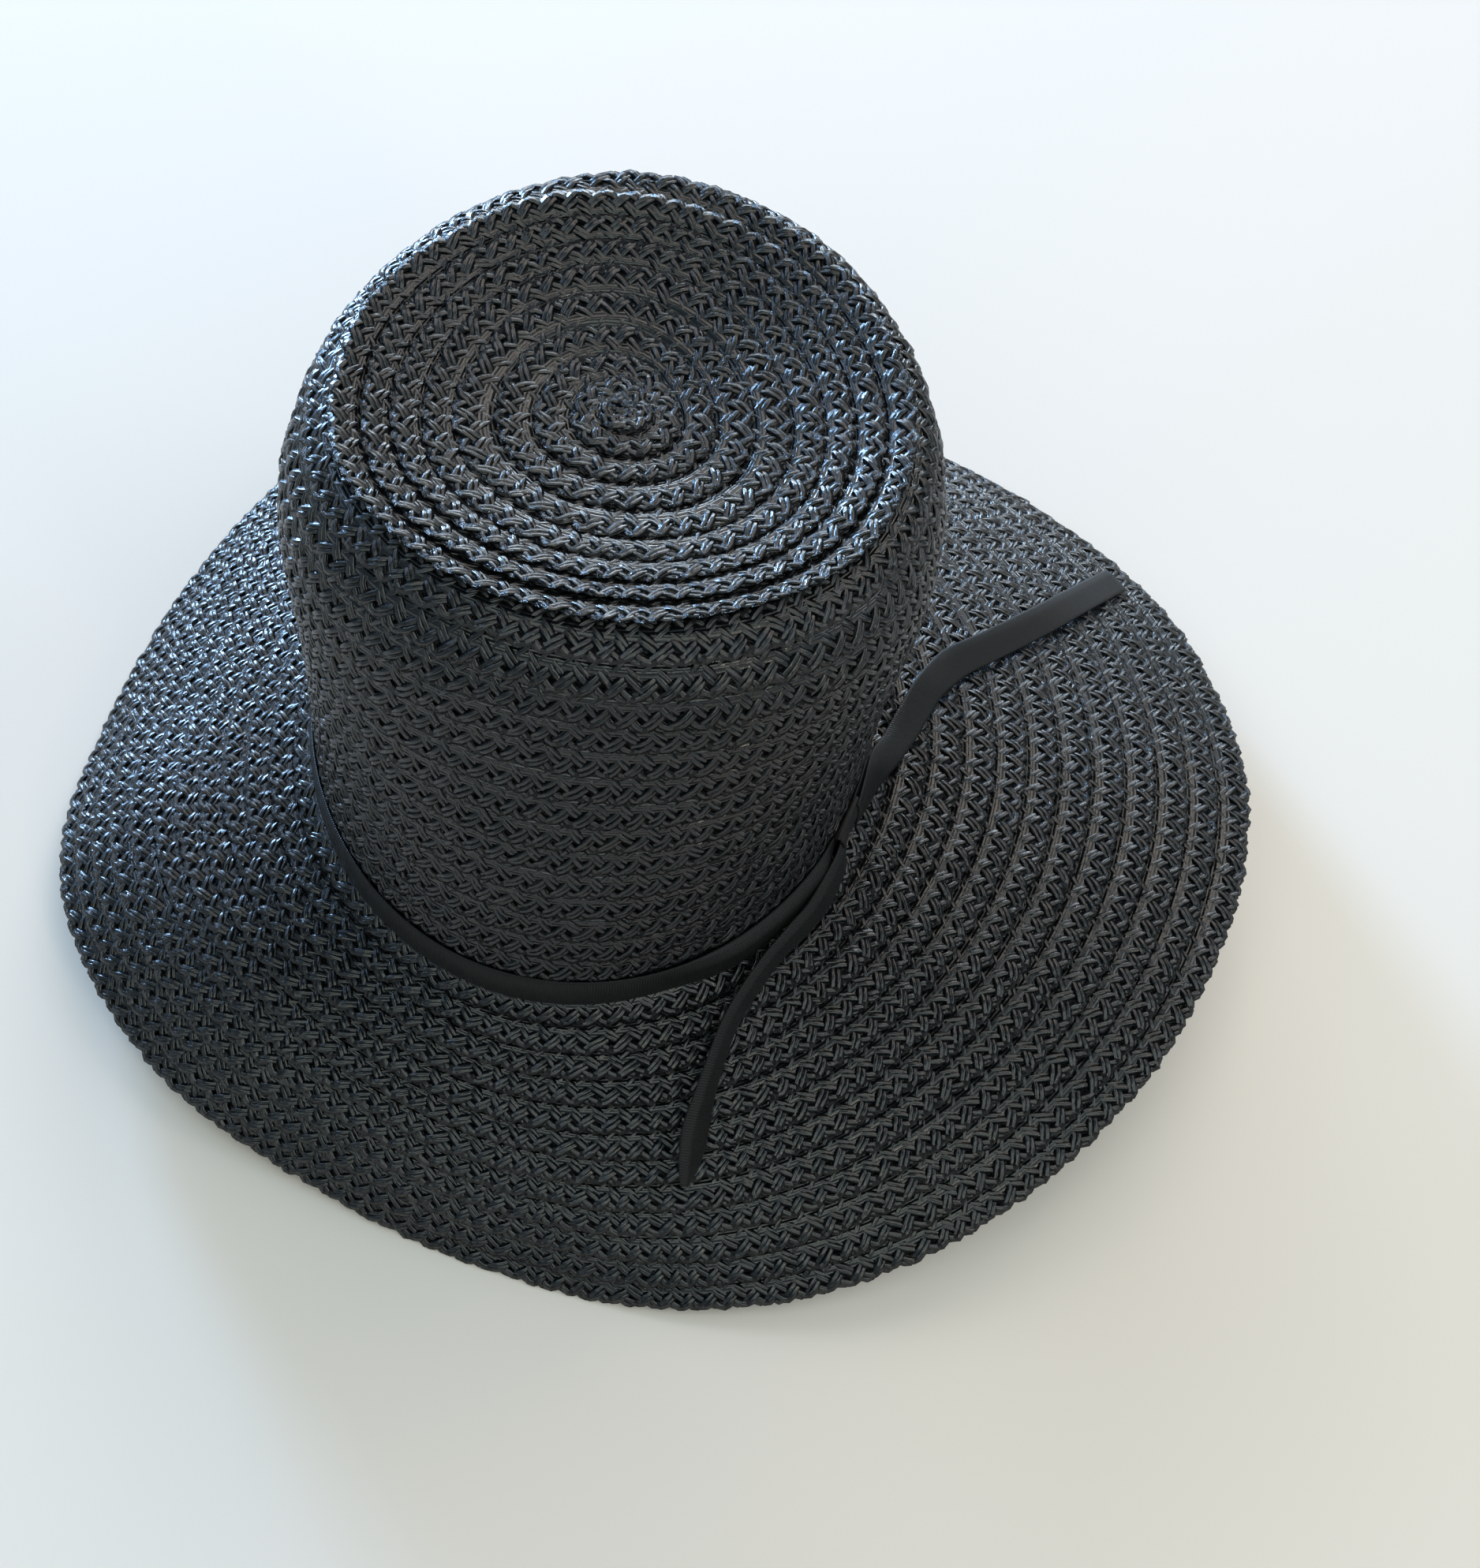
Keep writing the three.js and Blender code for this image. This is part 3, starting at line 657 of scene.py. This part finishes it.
def strawMaterial(name, shadeOf, count):
    material, tree, shader = newMaterial(name, {"IOR": 1.52, "Specular IOR Level": 0.6})
    look = strawLook
    across, along, tone = (addNode(tree, "ShaderNodeAttribute", {}, attribute_name=key).outputs["Fac"]
                           for key in ("acrossStraw", "along", "tone"))
    straws = placeGroup(tree, fineStraws, {"Across": across, "Along": along, "Tone": tone, "Count": count,
                        "Streak Length": look["streakLength"]})
    place = tree.nodes.new("ShaderNodeTexCoord").outputs["Object"]
    facets = placeGroup(tree, crinkle, {"Place": place, "Size": look["facetSize"]})
    patches = {"Vector": place, "Scale": look["patchScale"], "Detail": 2.0}
    patches = addNode(tree, "ShaderNodeTexNoise", patches).outputs[0]
    patches = spread(tree, patches, *look["patchShare"])
    dark, light, brown = ([v * shadeOf for v in look[key]] for key in ("dark", "light", "brown"))
    base = mixed(tree, straws["Shade"], dark, light)
    base = mixed(tree, maths(tree, "MULTIPLY", patches, facets["Fleck"], clamp=True), base, brown)
    # Painted shade: the inner edge of each row, which lies under the raised edge of the row before it, is
    # mixed toward a dark colour and is also made duller.
    inside = addNode(tree, "ShaderNodeAttribute", {}, attribute_name="rowPlace").outputs["Fac"]
    inside = addNode(tree, "ShaderNodeMapRange", {"Value": inside, "From Min": look["grooveFrom"],
                     "From Max": look["grooveTo"]}).outputs[0]
    paintedShadeMask = maths(tree, "MAXIMUM", inside, straws["Gap Shade"])
    tree.links.new(mixed(tree, paintedShadeMask, base, look["gapShade"]), shader["Base Color"])
    rough = [maths(tree, "MULTIPLY", value, 0.5) for value in (facets["Fleck"], straws["Shade"])]
    rough = spread(tree, summed(tree, *rough), look["dullest"], look["glossiest"])
    rough = summed(tree, rough, maths(tree, "MULTIPLY", inside, look["grooveDull"]))
    tree.links.new(rough, shader["Roughness"])
    height = summed(tree, straws["Height"], maths(tree, "MULTIPLY", facets["Height"], look["facetShare"]))
    bump = addNode(tree, "ShaderNodeBump", {"Strength": 1.0, "Distance": look["depth"], "Height": height})
    tree.links.new(bump.outputs[0], shader["Normal"])
    return material


plaitedStraw = strawMaterial("plaitedStraw", 1.0, strawLook["fineStraws"])
# The backing strip's straw is the same material made darker, as painted shade seen between the straws.
shadedStraw = strawMaterial("shadedStraw", strawLook["backingPaintedShade"], strawLook["backingFineStraws"])
braidTree = plaitTree()

# The rows of braid in each piece, and the CAD node that it replaces.
braidPieces = {
    "tipBraid": (0, tipRows, "crown"),
    "upperSideBraid": (tipRows, tipRows + 8, "crown"),
    "lowerSideBraid": (tipRows + 8, footRow, "crown"),
    "innerBrimBraid": (footRow, footRow + 5, "brim"),
    "middleBrimBraid": (footRow + 5, footRow + 9, "brim"),
    "outerBrimBraid": (footRow + 9, edgeRow, "brim"),
}


def pathPiece(name, firstRow, lastRow):
    stepMiddle = (rowPlan["stepFrom"] + rowPlan["stepTo"]) / 2
    start = 360.0 * (firstRow - 1) + stepMiddle if firstRow else -math.inf
    stop = 360.0 * (lastRow - 1) + stepMiddle if lastRow < edgeRow else math.inf
    picked = np.flatnonzero((path["turned"] >= start) & (path["turned"] <= stop))
    picked = np.arange(picked[0], min(picked[-1] + 2, len(path["run"])))
    mesh = bpy.data.meshes.new(name)
    mesh.from_pydata(path["place"][picked].tolist(), [(i, i + 1) for i in range(len(picked) - 1)], [])
    for key in ("across", "lift"):
        stored = mesh.attributes.new(key, "FLOAT_VECTOR", "POINT").data
        stored.foreach_set("vector", path[key][picked].astype(np.float32).ravel())
    stored = mesh.attributes.new("run", "FLOAT", "POINT").data
    stored.foreach_set("value", path["run"][picked].astype(np.float32))
    made = bpy.data.objects.new(name, mesh)
    bpy.context.scene.collection.objects.link(made)
    return made


def asPlainMesh(made):
    evaluated = made.evaluated_get(bpy.context.evaluated_depsgraph_get())
    mesh = bpy.data.meshes.new_from_object(evaluated)
    made.modifiers.clear()
    old = made.data
    made.data = mesh
    bpy.data.meshes.remove(old)
    mesh.name = made.name


sockets = [item for item in braidTree.interface.items_tree if item.in_out == "INPUT"]
socketOf = {item.name: item.identifier for item in sockets}
for name, (firstRow, lastRow, node) in braidPieces.items():
    piece = pathPiece(name, firstRow, lastRow)
    modifier = piece.modifiers.new("plait", "NODES")
    modifier.node_group = braidTree
    for key, value in plaitSizes.items():
        modifier[socketOf[key]] = value
    modifier[socketOf["Straw Material"]] = plaitedStraw
    modifier[socketOf["Backing Material"]] = shadedStraw
    asPlainMesh(piece)
    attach(piece, "root")
    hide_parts(node)
    print(name, "made with", sum(len(p.vertices) - 2 for p in piece.data.polygons), "triangles")


# The narrow ribbon, creased along its length, in millimetres from the centre of the crown's foot.
bandSizes = {
    "low": 0.6,
    "high": 10.3,
    "offCrown": 1.75,
    "belly": 0.35,
    "topLean": 0.6,
    "thickness": 0.7,
    "creaseOff": 4.2,
    "creaseHeight": 8.0,
    "creaseFrom": -66.0,
    "creaseTo": -23.0,
    "opensOver": 16.0,
    "closesOver": 6.0,
    "lowFold": 0.2,
    "highFold": 0.5,
    "ripple": 0.12,
    "ripples": 7,
    "rippleSkew": 2.5,
    "cut": (0.010, 0.600),  # the flat ribbon's width and length in metres, as for the tails
}
knotSizes = {
    "turn": (-23.2, -14.2),
    "thickness": 0.8,
    "slit": 1.6,
    "slitTurn": 4.0,
    "slitSharpness": 1.5,
    "facingUp": 0.6,
    "loop": ((1.6, 10.3), (2.0, 11.1), (2.8, 10.9), (3.5, 9.4), (3.9, 7.0), (3.9, 4.6), (3.4, 2.4),
             (2.6, 0.9), (1.9, 0.5)),
}
backTail = {
    "low": ((85.6, -29.3, 1.2), (88.6, -21.6, 1.1), (91.6, -13.3, 1.0), (96.0, -4.6, 0.6),
            (100.5, 5.4, 0.1), (104.5, 16.5, -0.7), (108.6, 26.9, -2.0), (115.7, 37.9, -4.3),
            (125.1, 47.9, -7.3), (135.0, 58.7, -10.9), (145.8, 71.2, -15.5), (157.1, 86.0, -21.8),
            (171.6, 106.2, -32.5)),
    "high": ((85.0, -28.6, 10.9), (85.9, -21.0, 10.4), (86.8, -12.6, 9.4), (88.0, -4.3, 6.5),
             (91.2, 4.6, 3.6), (95.7, 17.6, 3.7), (100.0, 28.9, 3.4), (107.4, 43.6, -0.9),
             (116.9, 53.6, -4.3), (127.0, 64.6, -8.4), (138.2, 77.9, -13.8), (149.6, 93.0, -21.2),
             (164.2, 113.4, -32.6)),
    "crease": 0.74,
    "creaseRise": 0.4,
    "ripple": 0.10,
    "rippleReach": 19,
    "thickness": 0.7,
    "cut": (0.010, 0.172),
}
frontTail = {
    "low": ((81.8, -39.2, 1.2), (84.2, -43.2, 0.9), (82.6, -52.6, 0.4), (79.6, -60.8, -0.2),
            (75.7, -68.3, -0.7), (68.7, -78.8, -1.4), (62.8, -90.6, -3.3), (58.7, -99.9, -5.9),
            (56.6, -110.0, -9.8), (55.4, -119.5, -14.2), (55.0, -127.7, -18.6), (54.2, -135.8, -23.2),
            (51.9, -142.2, -27.2)),
    "high": ((81.7, -39.2, 10.6), (80.4, -46.0, 8.8), (76.8, -56.4, 7.2), (73.6, -64.4, 7.1),
             (69.5, -71.2, 6.8), (62.9, -82.7, 6.0), (57.2, -94.9, 3.9), (53.9, -104.6, 1.8),
             (51.5, -114.5, -2.2), (49.4, -123.6, -7.2), (47.8, -131.3, -12.5), (48.2, -139.4, -16.0),
             (49.7, -145.2, -22.2)),
    "crease": 0.74,
    "creaseRise": 1.3,
    "ripple": 0.10,
    "rippleReach": 19,
    "thickness": 0.7,
    "cut": (0.010, 0.122),
}
ribbonSteps = {
    "bandTurn": 0.5,
    "bandAcross": 12,
    "knotEach": 8,
    "knotAcross": 15,
    "tailEach": 14,
    "tailAcross": 13,
}


# One closed strip: sections[step][place across] in millimetres, with rounded long edges.
def ribbonPiece(name, sections, thickness, closed, facing):
    sections = np.array(sections, float) + np.array(crownSizes["footPlace"])
    forward = np.roll(sections, -1, 0) - np.roll(sections, 1, 0) if closed else np.gradient(sections, axis=0)
    sideways = np.gradient(sections, axis=1)
    normal = unit(np.cross(forward, sideways))
    normal *= np.sign((normal * facing).sum(-1, keepdims=True) + 1e-9)
    outward = unit(sideways[:, -1]) * thickness / 2
    inward = unit(sideways[:, 0]) * -thickness / 2
    upper, lower = sections + normal * thickness / 2, sections - normal * thickness / 2
    loops = np.concatenate([upper, (sections[:, -1] + outward)[:, None], lower[:, ::-1],
                            (sections[:, 0] + inward)[:, None]], 1)
    steps, girth = loops.shape[:2]
    faces = []
    for i in range(steps if closed else steps - 1):
        j = (i + 1) % steps
        for k in range(girth):
            m = (k + 1) % girth
            faces.append((i * girth + k, i * girth + m, j * girth + m, j * girth + k))
    if not closed:
        half = sections.shape[1]
        for i, turned in ((0, 1), (steps - 1, -1)):
            for k in range(half):
                a, b = i * girth + (k - 1) % girth, i * girth + k
                c, d = i * girth + 2 * half - k, i * girth + (2 * half + 1 - k) % girth
                faces.append((a, b, c, d)[::turned])
    mesh = bpy.data.meshes.new(name)
    mesh.from_pydata((loops.reshape(-1, 3) * mm).tolist(), [], faces)
    run = np.concatenate([[0], np.cumsum(np.linalg.norm(np.diff(sections.mean(1), axis=0), axis=1))]) * mm
    stored = mesh.attributes.new("along", "FLOAT", "POINT").data
    stored.foreach_set("value", np.repeat(run, girth).astype(np.float32))
    mesh.update()
    made = bpy.data.objects.new(name, mesh)
    bpy.context.scene.collection.objects.link(made)
    shell = bmesh.new()
    shell.from_mesh(mesh)
    bmesh.ops.recalc_face_normals(shell, faces=shell.faces)
    shell.to_mesh(mesh)
    shell.free()
    mesh.shade_smooth()
    mesh.materials.append(mattRibbon)
    print(name, "made with", sum(len(p.vertices) - 2 for p in mesh.polygons), "triangles, length",
          round(float(run[-1]), 3), "m")
    return made


def bandSection(azimuth, share):
    s = bandSizes
    height = s["low"] + (s["high"] - s["low"]) * share
    off = s["offCrown"] + s["belly"] * np.sin(math.pi * share) - s["topLean"] * share ** 4
    off = off + s["ripple"] * np.sin(np.radians(azimuth) * s["ripples"] + s["rippleSkew"] * share)
    creaseAt = (s["creaseHeight"] - s["low"]) / (s["high"] - s["low"])
    toLow = 1 - np.clip(share / creaseAt, 0, 1)
    toHigh = np.clip((share - creaseAt) / (1 - creaseAt), 0, 1)
    highFold = s["creaseOff"] - s["offCrown"] + s["highFold"]
    folded = s["creaseOff"] - s["lowFold"] * toLow - highFold * toHigh
    opened = smooth((azimuth - s["creaseFrom"]) / s["opensOver"])
    opened = opened * smooth((s["creaseTo"] - azimuth) / s["closesOver"])
    off = off + (folded - off) * opened
    b = crownSizes
    part = height / b["bulgeHeight"]
    halfX, halfY = (foot + (bulge - foot) * part for foot, bulge in zip(b["footHalf"], b["bulgeHalf"]))
    return crownPoint(azimuth, halfX, halfY, height, off)


def smoothRows(rows, stepsEach):
    rows = np.array(rows, float)
    ends = np.vstack([2 * rows[0] - rows[1], rows, 2 * rows[-1] - rows[-2]])
    place = np.linspace(0, len(rows) - 1, (len(rows) - 1) * stepsEach + 1)
    index = np.minimum(place.astype(int), len(rows) - 2)
    near = (ends[index + k] for k in range(4))
    return curveBetween(*near, (place - index)[:, None])


def tailPiece(name, s):
    low, high = (smoothRows(s[side], ribbonSteps["tailEach"]) for side in ("low", "high"))
    share = np.linspace(0, 1, ribbonSteps["tailAcross"])
    spot = low[:, None] + (high - low)[:, None] * share[None, :, None]
    upward = unit(np.cross(np.gradient((low + high) / 2, axis=0), high - low))
    upward *= np.sign(upward[:, 2:] + 1e-9)
    ridge = np.where(share < s["crease"], share / s["crease"], (1 - share) / (1 - s["crease"]))
    ripple = s["ripple"] * np.sin(np.linspace(0, s["rippleReach"], len(low)))[:, None] * (2 * share - 1)[None]
    spot = spot + upward[:, None] * (s["creaseRise"] * ridge[None] + ripple)[..., None]
    return ribbonPiece(name, spot, s["thickness"], False, upward[:, None])


def knotPiece(name):
    s = knotSizes
    loop = smoothRows(s["loop"], ribbonSteps["knotEach"])
    turn = np.linspace(*s["turn"], ribbonSteps["knotAcross"])
    lifted = np.clip((turn[0] + s["slitTurn"] - turn) / s["slitTurn"], 0, 1)
    lifted = s["slit"] * lifted ** s["slitSharpness"]
    middle = np.sin(np.linspace(0, math.pi, len(loop)))
    off = loop[:, :1] + lifted[None] * middle[:, None]
    height = np.repeat(loop[:, 1:], len(turn), 1)
    spot = crownPoint(turn[None] + 0 * off, *crownSizes["footHalf"], height, off)
    middleTurn = math.radians(turn.mean())
    facing = np.array((math.cos(middleTurn), math.sin(middleTurn), s["facingUp"]))
    return ribbonPiece(name, spot, s["thickness"], False, facing)


ribbonLook = {
    "dark": (0.0028, 0.0030, 0.0030),
    "light": (0.0070, 0.0076, 0.0074),
    "ribEvery": 0.0008,
    "ribDepth": 0.00006,
    "threadSize": 0.0005,
    "threadShare": 0.9,
    "wornScale": 90.0,
    "wornShade": 1.1,
    "ribPaintedShade": 0.12,
    "shadeLoss": -0.15,
    "dullest": 0.56,
    "glossiest": 0.36,
}


def ribbonMaterial():
    material, tree, shader = newMaterial("mattRibbon", {"Specular IOR Level": 0.25, "Sheen Weight": 0.02,
                                         "Sheen Roughness": 0.5})
    look = ribbonLook
    along = addNode(tree, "ShaderNodeAttribute", {}, attribute_name="along").outputs["Fac"]
    place = tree.nodes.new("ShaderNodeTexCoord").outputs["Object"]
    ribs = maths(tree, "SINE", maths(tree, "MULTIPLY", along, 2 * math.pi / look["ribEvery"]))
    threads = placeGroup(tree, crinkle, {"Place": place, "Size": look["threadSize"], "Unevenness": 1.0})
    worn = {"Vector": place, "Scale": look["wornScale"], "Detail": 4.0}
    worn = addNode(tree, "ShaderNodeTexNoise", worn).outputs[0]
    # The worn noise is the ribbon's own uneven tone; the ribs are painted lighter on their tops and darker in
    # their troughs, as painted shade.
    shade = summed(tree, maths(tree, "MULTIPLY", worn, look["wornShade"]),
                   maths(tree, "MULTIPLY", ribs, look["ribPaintedShade"]), look["shadeLoss"])
    tree.links.new(mixed(tree, shade, look["dark"], look["light"]), shader["Base Color"])
    tree.links.new(spread(tree, worn, look["glossiest"], look["dullest"]), shader["Roughness"])
    height = summed(tree, ribs, maths(tree, "MULTIPLY", threads["Height"], look["threadShare"]))
    bump = addNode(tree, "ShaderNodeBump", {"Strength": 1.0, "Distance": look["ribDepth"], "Height": height})
    tree.links.new(bump.outputs[0], shader["Normal"])
    return material


mattRibbon = ribbonMaterial()
bandTurn = np.arange(0, 360, ribbonSteps["bandTurn"])
bandShare = np.linspace(0, 1, ribbonSteps["bandAcross"])
bandSpots = bandSection(np.mod(bandTurn + 180, 360)[:, None] - 180, bandShare[None])
bandAway = np.stack([np.cos(np.radians(bandTurn)), np.sin(np.radians(bandTurn)), 0 * bandTurn], -1)
bandPiece = ribbonPiece("ribbonBand", bandSpots, bandSizes["thickness"], True, bandAway[:, None])
knot = knotPiece("ribbonKnot")
backPiece, frontPiece = tailPiece("ribbonTailBack", backTail), tailPiece("ribbonTailFront", frontTail)
ribbonPieces = ((bandPiece, "hat_band"), (knot, "band_knot"), (backPiece, "band_tail_back"),
                (frontPiece, "band_tail_front"))
for piece, node in ribbonPieces:
    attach(piece, "root")
    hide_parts(node)

# Cool windows at the left and back, and warmer light from above and behind.
lighting = {
    "floorHalf": 2.5,
    "floorColour": (0.76, 0.69, 0.63),
    "worldColour": (0.56, 0.83, 1.0),
    "worldStrength": 0.30,
    "aim": (0.0, 0.0, 0.1),
    "backdropColour": (0.74, 0.76, 0.78),
    "lamps": {  # place, size, power and colour
        "lowLeftWindow": ((-1.62, 2.18, 0.46), (0.5, 0.4), 130.0, (0.36, 0.61, 1.0)),
        "highLeftWindow": ((-2.1, 1.0, 1.8), (1.2, 1.0), 15.0, (0.50, 0.68, 1.0)),
        "backWindow": ((-0.3, 3.0, 0.7), (1.8, 0.6), 57.0, (0.76, 0.88, 1.0)),
        "backPanel": ((0.5, 1.8, 2.4), (2.2, 1.7), 29.0, (1.0, 0.86, 0.74)),
        "rightPanel": ((2.4, 0.2, 1.8), (1.8, 1.5), 20.0, (0.92, 0.93, 0.95)),
        "ceilingLight": ((0.1, -1.1, 2.1), (2.6, 2.0), 26.6, (0.92, 1.0, 0.88)),
        "rightLamp": ((1.3, -1.5, 1.3), (0.25, 0.2), 4.0, (1.0, 0.84, 0.66)),
    },
}


def addFloor():
    mesh = bpy.data.meshes.new("floor")
    half = lighting["floorHalf"]
    corners = [(-half, -half, 0), (half, -half, 0), (half, half, 0), (-half, half, 0)]
    mesh.from_pydata(corners, [], [(0, 1, 2, 3)])
    floor = bpy.data.objects.new("floor", mesh)
    bpy.context.scene.collection.objects.link(floor)
    paleFloor = newMaterial("paleFloor", {"Base Color": (*lighting["floorColour"], 1), "Roughness": 0.9})[0]
    mesh.materials.append(paleFloor)


def addLamp(name, place, size, power, colour):
    data = bpy.data.lights.new(name, "AREA")
    data.shape = "RECTANGLE"
    data.size, data.size_y = size
    data.energy = power
    data.color = colour
    lamp = bpy.data.objects.new(name, data)
    bpy.context.scene.collection.objects.link(lamp)
    lamp.location = place
    lamp.rotation_euler = (Vector(lighting["aim"]) - Vector(place)).to_track_quat("-Z", "Y").to_euler()


def addWorld():
    world = bpy.data.worlds.new("softRoom")
    world.use_nodes = True
    tree = world.node_tree
    glow = tree.nodes["Background"]
    glow.inputs["Color"].default_value = (*lighting["worldColour"], 1)
    glow.inputs["Strength"].default_value = lighting["worldStrength"]
    backdrop = addNode(tree, "ShaderNodeBackground", {"Color": (*lighting["backdropColour"], 1)})
    seen = tree.nodes.new("ShaderNodeLightPath").outputs["Is Camera Ray"]
    either = addNode(tree, "ShaderNodeMixShader", {0: seen, 1: glow.outputs[0], 2: backdrop.outputs[0]})
    tree.links.new(either.outputs[0], tree.nodes["World Output"].inputs["Surface"])
    bpy.context.scene.world = world


addFloor()
addWorld()
bpy.context.scene.view_settings.view_transform = "Standard"
for name, values in lighting["lamps"].items():
    addLamp(name, *values)
print("floor and lights placed")
